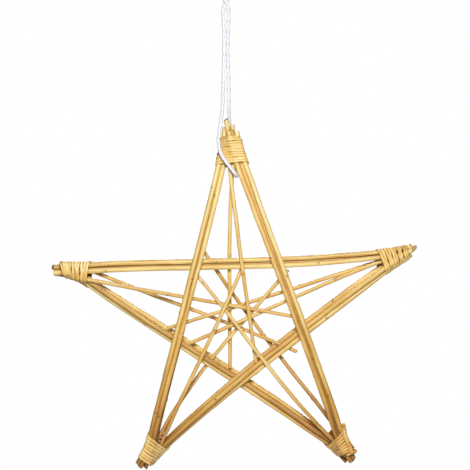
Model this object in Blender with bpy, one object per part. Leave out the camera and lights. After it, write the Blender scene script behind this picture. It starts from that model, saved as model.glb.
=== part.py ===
"""Wicker star decoration: five bars of three willow rods, ten filler rods, cane ties, a white cord.

The star stands upright in the XZ plane, seen along +Y. The origin is the point at which the
cord's loop bears on its hook. Rods are laid out flat first. Then each is bent in depth by the
least amount that lets all of them pass over and under each other without touching.
"""
import math

import bpy
import numpy as np
from mathutils import Matrix, Vector

MM = 0.001

# Overall layout, in metres
STAR_RADIUS = 0.203
CENTRE_BELOW_HOOK = 0.3586
CENTRE_BESIDE_HOOK = 0.0141
HANG_TILT = math.radians(2.9)

# Rods
BAR_BUTT_DIAMETER = 0.0053
BAR_THIN_DIAMETER = 0.0047
FILLER_BUTT_DIAMETER = 0.0041
FILLER_THIN_DIAMETER = 0.0037
CLEARANCE = 0.0004

# Ties
TIE_WALL = 0.0013

# Cord
CORD_DIAMETER = 0.004
KNOT_WIDTH = 0.0098
KNOT_GAP = 0.0003
KNOT_SIDES = 12
KNOT_RINGS = 8

# Points along each rod, and how finely neighbours are compared
BAR_POINTS = 17
FILLER_POINTS = 14
COMPARE_STEP = 0.004
SECTION_STEP = 0.0005
ROD_SIDES_LEVEL = 2

# Each tip: its place in the regular star in degrees, how far it strays from that, how far it
# reaches past the star's radius, how far the tie leans from the ray, and where the tie begins
# and how long it is, measured inward from the tip. Lengths are in millimetres.
TIPS = {
    "top": dict(regular=90, stray=-0.3, reach=-1.3, lean=0.0, tie_start=8.2, tie_length=31.1),
    "left": dict(regular=162, stray=1.6, reach=3.7, lean=3.8, tie_start=5.8, tie_length=31.8),
    "right": dict(regular=18, stray=-0.5, reach=1.2, lean=4.2, tie_start=8.4, tie_length=31.3),
    "low_left": dict(regular=234, stray=0.9, reach=-5.7, lean=0.2, tie_start=5.2, tie_length=24.7),
    "low_right": dict(regular=306, stray=-0.9, reach=-0.1, lean=2.2, tie_start=6.2, tie_length=25.6),
}

# The five bars, each from tip to tip
BARS = {
    "A": ("top", "low_left", "top_to_lower_left"),
    "B": ("top", "low_right", "top_to_lower_right"),
    "C": ("left", "right", "left_to_right"),
    "D": ("left", "low_right", "left_to_lower_right"),
    "E": ("right", "low_left", "right_to_lower_left"),
}

# Bar rods, in millimetres. At each of its two ties a rod has three figures: its place across the
# tie's inner end, its place across the tip, and how far its cut end stands past the tip. Places
# are counted clockwise across the outward ray. Bow and sway bend the span to its right-hand side.
# A swerve bends the rod's first tail clockwise inside the tie and back again outside it.
BAR_RODS = {
    "A1": dict(first=(-14.6, -6.0, 1.0), last=(9.7, 6.2, 2.0), bow=-0.4, sway=-0.4),
    "A2": dict(first=(-9.3, 5.4, -4.0), last=(5.2, 1.6, 3.0), bow=-1.2, sway=-1.6),
    "A3": dict(first=(-11.9, 0.0, -1.0), last=(2.6, -3.6, 1.0), bow=-1.0, sway=-1.0),
    "B1": dict(first=(4.9, -4.8, 10.5), last=(-2.3, 3.6, 1.0), bow=-1.4, sway=0.7, swerve=11.0),
    "B2": dict(first=(9.9, 0.0, -1.0), last=(-6.1, -0.6, 1.6), bow=-0.7, sway=0.8),
    "B3": dict(first=(14.3, 6.5, -4.0), last=(-9.9, -5.6, -3.8), bow=-0.5, sway=1.2),
    "C1": dict(first=(10.7, 5.2, -4.5), last=(-12.3, -1.8, -2.2), bow=2.1, sway=-2.7),
    "C2": dict(first=(3.6, -4.7, 0.3), last=(-6.3, 5.9, -7.0), bow=3.0, sway=-3.8),
    "C3": dict(first=(7.2, 1.0, 2.8), last=(-9.2, -1.5, -5.0), bow=2.8, sway=-3.6),
    "D1": dict(first=(-4.3, 5.4, -4.5), last=(2.8, -5.4, -4.0), bow=-2.3, sway=1.8),
    "D2": dict(first=(-6.6, 0.0, 0.5), last=(6.2, 1.5, 0.0), bow=-0.2, sway=3.2),
    "D3": dict(first=(-10.3, -5.4, -0.5), last=(10.5, 7.4, -2.5), bow=-0.1, sway=2.5),
    "E1": dict(first=(3.6, -3.2, -1.0), last=(-5.0, 5.4, 0.5), bow=5.8, sway=-0.7),
    "E2": dict(first=(6.9, 0.1, 3.0), last=(-8.0, 0.0, -1.0), bow=4.4, sway=-1.7),
    "E3": dict(first=(10.4, 5.4, -6.5), last=(-10.7, -5.4, -4.0), bow=2.7, sway=-3.0),
}

# Filler rods, in millimetres. Each starts in a tip as a bar rod does and runs to a bar, which it
# meets at a share of that bar's length and a step to the right of the bar's middle line.
FILLERS = {
    "T1": dict(tip="top", first=(1.2, 2.4, 3.5), ends_at=("D", 0.569, -10.7), bow=2.4, sway=1.5),
    "T2": dict(tip="top", first=(-3.0, -2.4, -2.0), ends_at=("E", 0.561, 9.9), bow=1.1, sway=0.3),
    "L1": dict(tip="left", first=(-5.8, -2.4, -3.0), ends_at=("B", 0.574, -1.1), bow=0.2, sway=0.3),
    "L2": dict(tip="left", first=(4.8, 2.4, -1.0), ends_at=("E", 0.45, -8.6), bow=-0.9, sway=2.2),
    "R1": dict(tip="right", first=(-2.4, -2.4, -6.0), ends_at=("A", 0.602, 12.0), bow=-0.1, sway=-0.7),
    "R2": dict(tip="right", first=(-1.4, 2.4, -4.5), ends_at=("D", 0.434, -10.4), bow=1.0, sway=1.8),
    "P1": dict(tip="low_left", first=(-4.5, 2.4, 0.0), ends_at=("C", 0.525, 6.4), bow=0.6, sway=-1.7),
    "P2": dict(tip="low_left", first=(0.9, -2.4, -2.0), ends_at=("B", 0.433, -5.0), bow=-6.9, sway=-4.0),
    "Q1": dict(tip="low_right", first=(3.6, -2.4, -1.0), ends_at=("A", 0.427, -2.2), bow=-2.8, sway=-3.6),
    "Q2": dict(tip="low_right", first=(-7.9, 2.4, -3.0), ends_at=("C", 0.416, -9.0), bow=-2.8, sway=1.4),
}

FILLER_NAMES = {
    "T": "top_filler", "L": "left_filler", "R": "right_filler",
    "P": "lower_left_filler", "Q": "lower_right_filler",
}

TIE_NAMES = {
    "top": "top_tie", "left": "left_tie", "right": "right_tie",
    "low_left": "lower_left_tie", "low_right": "lower_right_tie",
}

# Which rod passes in front where two cross, front first
FRONT_TO_BACK = (
    "B1 B3 B2 A1 A2 A3 Q1 E2 E3 T2 C1 C2 C3 P1 L1 D2 D3 R2 P2 R1 T1 D1 L2 E1 Q2"
).split()

# The weave's exceptions: the first of each two passes in front of the second
FRONT_EXCEPTIONS = {("P1", "Q1"), ("E1", "D1"), ("E1", "D2"), ("E1", "D3")}

# Inside a tie the eight rods have an order of their own, front first
TIP_ORDER = {
    "top": "B1 B3 B2 T2 T1 A1 A2 A3".split(),
    "left": "C1 C2 C3 L1 L2 D2 D3 D1".split(),
    "right": "E2 E3 C1 C2 C3 R2 R1 E1".split(),
    "low_left": "A1 A2 A3 P1 P2 E2 E3 E1".split(),
    "low_right": "B1 B3 B2 Q1 Q2 D2 D3 D1".split(),
}

# Stiffness of the weave, as shares of a thick rod's own stiffness over a length: the weak pull
# to the star's middle plane, the tie's squeeze, and the firmness of a touch, softest first
SPRING_LENGTH = 0.02
MIDDLE_PULL = 0.002
TIE_SQUEEZE = 0.3
TOUCH_FIRMNESS = (10.0, 100.0, 1000.0, 10000.0)
SETTLE_ROUNDS = 30
SETTLED = 1e-9
LEAST_STRIDE = 1e-3

# Tie sleeves
TIE_ANGLES = 18
TIE_STATIONS = 6

# The cord's route as a list of places in millimetres: across, depth and height from the hook.
# It begins and ends at the knot.
CORD_ROUTE = [
    (5.0, 18.0, -175.0), (4.6, 17.4, -164.0), (3.9, 15.0, -153.0), (3.3, 9.6, -142.0),
    (2.9, 4.4, -129.0), (2.9, 1.0, -112.0), (2.3, -0.8, -90.0), (1.7, -1.7, -72.0),
    (2.1, -0.9, -56.0), (2.6, 0.0, -42.0), (2.7, -0.8, -30.0), (0.6, -2.5, -20.5),
    (-4.6, -1.8, -14.2), (-7.9, 0.0, -6.0), (-5.7, 0.0, -0.3), (0.0, 0.0, 2.0), (5.7, 0.0, -0.3),
    (7.9, 0.0, -6.0), (4.6, 1.8, -14.2), (-0.6, 2.5, -20.5), (-3.2, 0.9, -30.0), (-2.6, 0.0, -42.0),
    (-2.2, 0.9, -56.0), (-2.1, 1.7, -72.0), (-2.6, 1.2, -90.0), (-3.1, 0.0, -112.0),
    (-3.6, -0.8, -130.0), (-5.2, -2.6, -147.0), (-7.4, -5.6, -162.0), (-8.2, -9.6, -173.0),
    (-5.6, -13.0, -185.0), (0.0, -14.6, -194.0), (5.8, -14.4, -201.5), (10.0, -11.6, -207.0),
    (10.9, -6.0, -209.0), (11.7, 2.0, -209.4), (11.0, 10.6, -208.0), (8.6, 16.8, -200.0),
    (5.3, 18.4, -188.0),
]
CORD_POINT_SPACING = 0.008
CURVE_SAMPLES = 20

# Looks of the source model
WILLOW = ((0.80, 0.52, 0.20, 1.0), 0.45)
CANE = ((0.86, 0.62, 0.28, 1.0), 0.5)
COTTON = ((0.86, 0.86, 0.92, 1.0), 0.85)


def clear_scene():
    for old in list(bpy.data.objects):
        bpy.data.objects.remove(old, do_unlink=True)


def tip_frame(tip):
    """A tip's point in the XZ plane, its outward direction, and the direction clockwise across it."""
    place = TIPS[tip]
    ray = math.radians(place["regular"] + place["stray"]) + HANG_TILT
    radius = STAR_RADIUS + place["reach"] * MM
    point = np.array([
        CENTRE_BESIDE_HOOK + radius * math.cos(ray),
        -CENTRE_BELOW_HOOK + radius * math.sin(ray),
    ])
    axis = ray + math.radians(place["lean"])
    outward = np.array([math.cos(axis), math.sin(axis)])
    across = np.array([math.sin(axis), -math.cos(axis)])
    return point, outward, across


def tie_inner_end(tip):
    return (TIPS[tip]["tie_start"] + TIPS[tip]["tie_length"]) * MM


def in_tip(tip, inward, sideways):
    """The place inward of a tip along its tie's axis and sideways across it."""
    point, outward, across = tip_frame(tip)
    return point - outward * inward + across * sideways


def beside_bar(bar, share, step):
    """The place at a share of a bar's middle line, a step to the right of it."""
    first_tip, last_tip, _ = BARS[bar]
    first = tip_frame(first_tip)[0]
    last = tip_frame(last_tip)[0]
    along = (last - first) / np.linalg.norm(last - first)
    right = np.array([along[1], -along[0]])
    return first + (last - first) * share + right * step * MM


class Rod:
    """One rod: its flat route from end to end, and its radius along it."""

    def __init__(self, key, points, butt, thin):
        self.key = key
        self.bar = key[0] if key[0] in BARS else None
        self.tips = BARS[self.bar][:2] if self.bar else (FILLERS[key]["tip"],)
        self.count = points
        self.butt = butt
        self.thin = thin
        row = BAR_RODS[key] if self.bar else FILLERS[key]
        self.bow = row["bow"] * MM
        self.sway = row["sway"] * MM
        self.swerve = row.get("swerve", 0.0) * MM * tip_frame(self.tips[0])[2]
        self.first = self.seat(self.tips[0], row["first"])
        if self.bar:
            self.last = self.seat(self.tips[1], row["last"])
        else:
            end = beside_bar(*row["ends_at"])
            self.last = (end, end, 0.0)
        self.start = self.first[0]
        self.span = np.linalg.norm(self.last[0] - self.start)
        self.along = (self.last[0] - self.start) / self.span
        self.right = np.array([self.along[1], -self.along[0]])
        steps = np.linspace(-self.first[2], self.span + self.last[2], points)
        self.steps = steps
        self.spacing = steps[1] - steps[0]
        self.flat = self.place(steps)

    @staticmethod
    def seat(tip, figures):
        """Where a rod leaves a tie, where its cut end lies, and the length between."""
        across_tie, across_tip, stands_past = figures
        inner = tie_inner_end(tip)
        leaves = in_tip(tip, inner, across_tie * MM)
        cut_end = in_tip(tip, -stands_past * MM, across_tip * MM)
        return leaves, cut_end, np.linalg.norm(cut_end - leaves)

    def place(self, steps):
        """Flat places at steps along the rod: a bowed span, and tails that bend on to the ends.

        The span is its chord plus 4u(1-u) times (bow + sway(1-2u)) to the right, u the share of
        the span. Each tail carries on along the span's end slope and leaves it by the square of
        the distance, so that it reaches its cut end. A swerve adds itself times q squared times
        (1-q) to the first tail, q the share of that tail.
        """
        share = np.clip(steps / self.span, 0.0, 1.0)
        hump = 4 * share * (1 - share)
        off = hump * (self.bow + self.sway * (1 - 2 * share))
        places = self.start + np.outer(share * self.span, self.along) + np.outer(off, self.right)
        first_slope = self.along + self.right * 4 * (self.bow + self.sway) / self.span
        last_slope = self.along - self.right * 4 * (self.bow - self.sway) / self.span
        for side, beyond, slope, (leaves, cut_end, length), swerve in (
            (-1.0, np.minimum(steps, 0.0), first_slope, self.first, self.swerve),
            (1.0, np.maximum(steps - self.span, 0.0), last_slope, self.last, np.zeros(2)),
        ):
            if length > 0:
                tail = np.abs(beyond) / length
                miss = cut_end - (leaves + slope * side * length)
                places = places + np.outer(beyond, slope) + np.outer(tail ** 2, miss)
                places = places + np.outer(tail ** 2 * (1 - tail), swerve)
        return places

    def radius(self, steps):
        share = (steps - self.steps[0]) / (self.steps[-1] - self.steps[0])
        return (self.butt + (self.thin - self.butt) * share) / 2


def make_rods():
    rods = [Rod(key, BAR_POINTS, BAR_BUTT_DIAMETER, BAR_THIN_DIAMETER) for key in BAR_RODS]
    rods += [Rod(key, FILLER_POINTS, FILLER_BUTT_DIAMETER, FILLER_THIN_DIAMETER) for key in FILLERS]
    return rods


def passes_in_front(one, other):
    """True where rod one crosses in front of rod other."""
    if (one.key, other.key) in FRONT_EXCEPTIONS:
        return True
    if (other.key, one.key) in FRONT_EXCEPTIONS:
        return False
    shared = [tip for tip in one.tips if tip in other.tips]
    order = TIP_ORDER[shared[0]] if len(shared) == 1 else FRONT_TO_BACK
    return order.index(one.key) < order.index(other.key)


def share_between_points(rod, steps):
    """The index of the route point before each step, and the share of the way to the next."""
    spot = (steps - rod.steps[0]) / rod.spacing
    index = np.clip(spot.astype(int), 0, rod.count - 2)
    return index, spot - index


def nearest_on(rod, places):
    """For flat places, the nearest step along another rod's route and the distance to it."""
    starts = rod.flat[:-1]
    runs = rod.flat[1:] - starts
    lengths = (runs ** 2).sum(axis=1)
    offsets = places[:, None, :] - starts[None]
    shares = np.clip((offsets * runs).sum(axis=2) / lengths, 0.0, 1.0)
    gaps = np.linalg.norm(offsets - shares[..., None] * runs, axis=2)
    best = gaps.argmin(axis=1)
    rows = np.arange(len(places))
    return rod.steps[0] + (best + shares[rows, best]) * rod.spacing, gaps[rows, best]


def find_touches(rods, offsets):
    """Every place where two rods lie closer in the flat than they may.

    Each is a row of four depths, two points of either rod, their weights in the depth between
    the rods there, and the least that it must be: by Pythagoras, what is left of the rods' radii
    and clearance beside their distance in the flat.
    """
    columns = []
    weights = []
    needs = []
    for rod in rods:
        steps = np.arange(rod.steps[0], rod.steps[-1], COMPARE_STEP)
        index, share = share_between_points(rod, steps)
        places = rod.flat[index] * (1 - share[:, None]) + rod.flat[index + 1] * share[:, None]
        for other in rods:
            if other is rod:
                continue
            other_steps, gaps = nearest_on(other, places)
            apart = rod.radius(steps) + other.radius(other_steps) + CLEARANCE
            close = gaps < apart
            sign = -1.0 if passes_in_front(rod, other) else 1.0
            other_index, other_share = share_between_points(other, other_steps[close])
            here = offsets[rod.key] + index[close]
            there = offsets[other.key] + other_index
            columns.append(np.stack([here, here + 1, there, there + 1], axis=1))
            own = share[close]
            weights.append(sign * np.stack([1 - own, own, other_share - 1, -other_share], axis=1))
            needs.append(np.sqrt(apart[close] ** 2 - gaps[close] ** 2))
    return np.vstack(columns), np.vstack(weights), np.concatenate(needs)


def springs(rods, offsets, total):
    """The pull of each rod to stay straight, and of the weave and its ties to stay flat."""
    pull = np.zeros((total, total))
    for rod in rods:
        base = offsets[rod.key]
        rigid = (rod.butt / BAR_BUTT_DIAMETER) ** 4 * (SPRING_LENGTH / rod.spacing) ** 3
        bend = np.array([1.0, -2.0, 1.0])
        for point in range(base + 1, base + rod.count - 1):
            pull[point - 1:point + 2, point - 1:point + 2] += rigid * np.outer(bend, bend)
        inside_tie = (rod.steps < 0) | ((rod.steps > rod.span) & (rod.bar is not None))
        own = np.arange(base, base + rod.count)
        pull[own, own] += MIDDLE_PULL + TIE_SQUEEZE * inside_tie
    return pull


def settle(rods):
    """Each rod's depths for the least bending that keeps every crossing clear.

    The energy is half the springs' pull on the depths plus, for each touch that falls short, half
    its firmness times the shortfall squared. Newton's steps, halved until the energy falls, find
    its one lowest point, and firmer touches bring it as close to no shortfall as matters.
    """
    offsets = {}
    total = 0
    for rod in rods:
        offsets[rod.key] = total
        total += rod.count
    columns, weights, needs = find_touches(rods, offsets)
    pull = springs(rods, offsets, total)

    def energy(depth, firmness):
        short = np.maximum(needs - (weights * depth[columns]).sum(axis=1), 0)
        return 0.5 * depth @ pull @ depth + 0.5 * firmness * (short ** 2).sum(), short > 0

    depth = np.zeros(total)
    for firmness in TOUCH_FIRMNESS:
        for _ in range(SETTLE_ROUNDS):
            before, pressed = energy(depth, firmness)
            at = columns[pressed]
            weight = weights[pressed]
            stiff = pull.copy()
            couples = (at[:, :, None], at[:, None, :])
            np.add.at(stiff, couples, firmness * weight[:, :, None] * weight[:, None, :])
            load = np.zeros(total)
            np.add.at(load, at, firmness * weight * needs[pressed][:, None])
            change = np.linalg.solve(stiff, load) - depth
            stride = 1.0
            while stride > LEAST_STRIDE and energy(depth + stride * change, firmness)[0] > before:
                stride /= 2
            depth = depth + stride * change
            if before - energy(depth, firmness)[0] < SETTLED * before:
                break
    return {rod.key: depth[offsets[rod.key]:offsets[rod.key] + rod.count] for rod in rods}


def make_material(name, look):
    colour, roughness = look
    material = bpy.data.materials.new(name)
    material.use_nodes = True
    shader = material.node_tree.nodes["Principled BSDF"]
    shader.inputs["Base Color"].default_value = colour
    shader.inputs["Roughness"].default_value = roughness
    shader.inputs["Metallic"].default_value = 0.0
    return material


def add_tube(name, points, radii, look, collection):
    """A round rod or cord through points, with its radius at each."""
    curve = bpy.data.curves.new(name, "CURVE")
    curve.dimensions = "3D"
    curve.bevel_depth = 1.0
    curve.bevel_resolution = ROD_SIDES_LEVEL
    curve.use_fill_caps = True
    spline = curve.splines.new("POLY")
    spline.points.add(len(points) - 1)
    for spot, place, radius in zip(spline.points, points, radii):
        spot.co = (*place, 1.0)
        spot.radius = radius
    tube = bpy.data.objects.new(name, curve)
    curve.materials.append(make_material(name, look))
    collection.objects.link(tube)
    return tube


def rod_name(rod):
    if rod.bar:
        return f"{BARS[rod.bar][2]}_rod_{rod.key[1]}"
    return f"{FILLER_NAMES[rod.key[0]]}_{rod.key[1]}"


def add_rods(rods, collection):
    for rod in rods:
        points = np.stack([rod.flat[:, 0], rod.depth, rod.flat[:, 1]], axis=1)
        add_tube(rod_name(rod), points, rod.radius(rod.steps), WILLOW, collection)


def rod_sections(rods, tip, inward):
    """Where each rod of a tip crosses the plane at a distance inward of it, and its radii there."""
    point, outward, across = tip_frame(tip)
    sections = []
    for rod in rods:
        if tip not in rod.tips:
            continue
        steps = np.arange(rod.steps[0], rod.steps[-1], SECTION_STEP)
        index, share = share_between_points(rod, steps)
        flat = rod.flat[index] * (1 - share[:, None]) + rod.flat[index + 1] * share[:, None]
        depth = rod.depth[index] * (1 - share) + rod.depth[index + 1] * share
        from_tip = (point - flat) @ outward
        near = np.abs(from_tip - inward)
        at = near.argmin()
        if near[at] > SECTION_STEP:
            continue
        run = rod.flat[index[at] + 1] - rod.flat[index[at]]
        lean = abs(run @ outward) / np.linalg.norm(run)
        sections.append(((flat[at] - point) @ across, depth[at], rod.radius(steps[at]), lean))
    return sections


def band_outline(sections, gap):
    """The tight band round the rods: where neighbouring tangent lines of the bundle meet.

    A tangent line at an angle lies at the greatest of centre dot direction plus radius, over the
    rods, plus the gap. Each corner of the band is the crossing of two neighbouring lines.
    """
    turns = np.linspace(0, 2 * math.pi, TIE_ANGLES, endpoint=False)
    facing = np.stack([np.cos(turns), np.sin(turns)], axis=1)
    reach = []
    for direction in facing:
        outermost = []
        for sideways, depth, radius, lean in sections:
            wide = radius * math.hypot(direction[0] / lean, direction[1])
            outermost.append(direction[0] * sideways + direction[1] * depth + wide)
        reach.append(max(outermost) + gap)
    corners = []
    for one in range(TIE_ANGLES):
        two = (one + 1) % TIE_ANGLES
        lines = np.array([facing[one], facing[two]])
        corners.append(np.linalg.solve(lines, np.array([reach[one], reach[two]])))
    return corners


def add_tie(tip, rods, collection):
    """A hollow sleeve of wound cane: one loft inside, one outside, closed by a ring at each end."""
    name = TIE_NAMES[tip]
    point, outward, across = tip_frame(tip)
    first = TIPS[tip]["tie_start"] * MM
    last = tie_inner_end(tip)
    verts = []
    for gap in (CLEARANCE, CLEARANCE + TIE_WALL):
        for inward in np.linspace(first, last, TIE_STATIONS):
            for sideways, depth in band_outline(rod_sections(rods, tip, inward), gap):
                flat = point - outward * inward + across * sideways
                verts.append((flat[0], depth, flat[1]))
    layer = TIE_ANGLES * TIE_STATIONS
    faces = []
    for station in range(TIE_STATIONS - 1):
        for turn in range(TIE_ANGLES):
            following = (turn + 1) % TIE_ANGLES
            near = station * TIE_ANGLES
            far = near + TIE_ANGLES
            faces.append((near + turn, near + following, far + following, far + turn))
            faces.append((layer + near + turn, layer + far + turn,
                          layer + far + following, layer + near + following))
    for near in (0, layer - TIE_ANGLES):
        for turn in range(TIE_ANGLES):
            following = (turn + 1) % TIE_ANGLES
            ring = (near + turn, layer + near + turn, layer + near + following, near + following)
            faces.append(ring if near == 0 else ring[::-1])
    mesh = bpy.data.meshes.new(name)
    mesh.from_pydata(verts, [], faces)
    mesh.update()
    mesh.materials.append(make_material(name, CANE))
    collection.objects.link(bpy.data.objects.new(name, mesh))


def smooth_route(route, spacing):
    """Evenly spaced points on the smooth curve through a route, by a chain of cubic pieces."""
    route = np.array(route) * MM
    longer = np.vstack([2 * route[0] - route[1], route, 2 * route[-1] - route[-2]])
    share = np.linspace(0, 1, CURVE_SAMPLES, endpoint=False)[:, None]
    pieces = []
    for one in range(len(route) - 1):
        before, start, end, after = longer[one:one + 4]
        first = end - before
        second = 2 * before - 5 * start + 4 * end - after
        third = 3 * (start - end) + after - before
        pieces.append(start + (first * share + second * share ** 2 + third * share ** 3) / 2)
    fine = np.vstack(pieces + [route[-1:]])
    run = np.concatenate([[0.0], np.cumsum(np.linalg.norm(np.diff(fine, axis=0), axis=1))])
    even = np.linspace(0, run[-1], int(round(run[-1] / spacing)) + 1)
    return np.stack([np.interp(even, run, fine[:, axis]) for axis in range(3)], axis=1)


def add_cord(collection):
    points = smooth_route(CORD_ROUTE, CORD_POINT_SPACING)
    add_tube("hanging_cord", points, np.full(len(points), CORD_DIAMETER / 2), COTTON, collection)


def add_knot(collection):
    """The knot behind the top tie: a rounded solid between the cord's two ends."""
    lower = Vector(CORD_ROUTE[-1]) * MM
    upper = Vector(CORD_ROUTE[0]) * MM
    length = (upper - lower).length - 2 * KNOT_GAP
    bpy.ops.mesh.primitive_uv_sphere_add(segments=KNOT_SIDES, ring_count=KNOT_RINGS, radius=1.0)
    knot = bpy.context.object
    knot.name = "cord_knot"
    knot.data.name = "cord_knot"
    knot.data.transform(Matrix.Diagonal((KNOT_WIDTH / 2, KNOT_WIDTH / 2, length / 2, 1.0)))
    knot.location = (upper + lower) / 2
    knot.data.materials.append(make_material("cord_knot", COTTON))
    knot.data.shade_smooth()
    for holder in list(knot.users_collection):
        holder.objects.unlink(knot)
    collection.objects.link(knot)


def build():
    clear_scene()
    collection = bpy.data.collections.new("wicker_star_decoration")
    bpy.context.scene.collection.children.link(collection)
    rods = make_rods()
    depths = settle(rods)
    for rod in rods:
        rod.depth = depths[rod.key]
    add_rods(rods, collection)
    for tip in TIPS:
        add_tie(tip, rods, collection)
    add_cord(collection)
    add_knot(collection)


build()
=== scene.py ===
"""A wicker star hanging on its white cord: willow rods, cane ties and a braided cotton cord.

The star hangs in the XZ plane and faces -Y. The origin is where the cord's loop bears on its hook.
"""
import math

import bmesh
import bpy
import numpy as np
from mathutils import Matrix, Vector


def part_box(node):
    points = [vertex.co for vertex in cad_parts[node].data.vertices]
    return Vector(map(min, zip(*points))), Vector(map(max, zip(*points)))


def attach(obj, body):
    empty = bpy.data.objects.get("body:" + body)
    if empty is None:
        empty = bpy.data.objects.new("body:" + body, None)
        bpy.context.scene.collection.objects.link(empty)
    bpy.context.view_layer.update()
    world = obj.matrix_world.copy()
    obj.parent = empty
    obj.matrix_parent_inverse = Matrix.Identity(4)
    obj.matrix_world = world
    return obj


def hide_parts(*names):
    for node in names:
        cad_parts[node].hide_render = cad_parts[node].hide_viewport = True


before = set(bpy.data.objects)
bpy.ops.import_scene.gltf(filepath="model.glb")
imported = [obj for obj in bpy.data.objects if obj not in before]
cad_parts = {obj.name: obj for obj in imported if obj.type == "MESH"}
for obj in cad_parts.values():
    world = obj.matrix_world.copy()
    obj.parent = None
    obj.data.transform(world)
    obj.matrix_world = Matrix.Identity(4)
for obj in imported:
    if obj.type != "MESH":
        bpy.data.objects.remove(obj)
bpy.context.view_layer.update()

# Camera
# The star is seen straight from the front, from so far away that its depth hardly shows. The
# square picture spans a little more than the star's width, and its upper edge cuts the cord.
PICTURE_WIDTH = 0.5123
PICTURE_CENTRE = (0.0098, -0.2738)
CAMERA_DISTANCE = 10.0
SENSOR_WIDTH = 36.0

camera_data = bpy.data.cameras.new("front_camera")
camera_data.sensor_width = SENSOR_WIDTH
camera_data.lens = SENSOR_WIDTH * CAMERA_DISTANCE / PICTURE_WIDTH
camera = bpy.data.objects.new("front_camera", camera_data)
camera.location = (PICTURE_CENTRE[0], -CAMERA_DISTANCE, PICTURE_CENTRE[1])
camera.rotation_euler = (math.radians(90), 0, 0)
bpy.context.scene.collection.objects.link(camera)
bpy.context.scene.camera = camera

# Hanging cord
# A soft white cotton cord, braided from eight strands, runs doubled from the hook to the star.
# One of its two runs passes in front of the top tie and through the gap below it, and its ends
# meet in a knot behind the tie.
MM = 0.001
CORD_DIAMETER = 0.004
CORD_ROUTE = [
    (5.0, 18.0, -175.0), (4.6, 17.4, -164.0), (3.9, 15.0, -153.0), (3.3, 9.6, -142.0),
    (2.9, 4.4, -129.0), (2.9, 1.0, -112.0), (2.3, -0.8, -90.0), (1.7, -1.7, -72.0),
    (2.1, -0.9, -56.0), (2.6, 0.0, -42.0), (2.7, -0.8, -30.0), (0.6, -2.5, -20.5),
    (-4.6, -1.8, -14.2), (-7.9, 0.0, -6.0), (-5.7, 0.0, -0.3), (0.0, 0.0, 2.0), (5.7, 0.0, -0.3),
    (7.9, 0.0, -6.0), (4.6, 1.8, -14.2), (-0.6, 2.5, -20.5), (-3.2, 0.9, -30.0), (-2.6, 0.0, -42.0),
    (-2.2, 0.9, -56.0), (-2.1, 1.7, -72.0), (-2.6, 1.2, -90.0), (-3.1, 0.0, -112.0),
    (-3.6, -0.8, -130.0), (-5.2, -2.6, -147.0), (-7.4, -5.6, -162.0), (-8.2, -9.6, -173.0),
    (-5.6, -13.0, -185.0), (0.0, -14.6, -194.0), (5.8, -14.4, -201.5), (10.0, -11.6, -207.0),
    (10.9, -6.0, -209.0), (11.7, 2.0, -209.4), (11.0, 10.6, -208.0), (8.6, 16.8, -200.0),
    (5.3, 18.4, -188.0),
]
CURVE_SAMPLES = 20
CORD_STATION = 0.00045
CORD_SIDES = 32
BRAID_STRANDS = 4
BRAID_PITCH = 0.0125
BRAID_RELIEF = 0.12
BRAID_CROSSING = 0.4


def smooth_curve(points):
    """A curve through points by cubic pieces. Each leaves a point along the line of its neighbours."""
    points = np.array(points)
    longer = np.vstack([2 * points[0] - points[1], points, 2 * points[-1] - points[-2]])
    before, start, end, after = (longer[k:k + len(points) - 1, None] for k in range(4))
    share = np.linspace(0, 1, CURVE_SAMPLES, endpoint=False)[None, :, None]
    first = end - before
    second = 2 * before - 5 * start + 4 * end - after
    third = 3 * (start - end) + after - before
    pieces = start + (first * share + second * share ** 2 + third * share ** 3) / 2
    return np.vstack([pieces.reshape(-1, 3), points[-1:]])


def run_along(line):
    """The distance along a line at each of its points: the sum of the steps before it."""
    return np.concatenate([[0.0], np.cumsum(np.linalg.norm(np.diff(line, axis=0), axis=1))])


def evenly(line, spacing):
    """The same line with points an even distance apart."""
    run = run_along(line)
    even = np.linspace(0, run[-1], int(round(run[-1] / spacing)) + 1)
    return np.stack([np.interp(even, run, line[:, axis]) for axis in range(3)], axis=1)


def unit(vectors):
    """Vectors brought to length one."""
    return vectors / np.linalg.norm(vectors, axis=-1, keepdims=True)


def carried(line):
    """Directions along a line and two square to it: each is the last one, laid square to the new run."""
    along = unit(np.gradient(line, axis=0))
    side = np.empty_like(line)
    side[0] = unit(np.cross(along[0], (0.0, 1.0, 0.0)))
    for step in range(1, len(line)):
        side[step] = unit(side[step - 1] - along[step] * (side[step - 1] @ along[step]))
    return along, side, np.cross(along, side)


def round_grid(line, side, front, radius, turn):
    """Points round a line: its point plus radius times cos(turn) to the side and sin(turn) to the front."""
    spread = np.cos(turn)[..., None] * side[:, None] + np.sin(turn)[..., None] * front[:, None]
    return line[:, None] + radius[..., None] * spread


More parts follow.
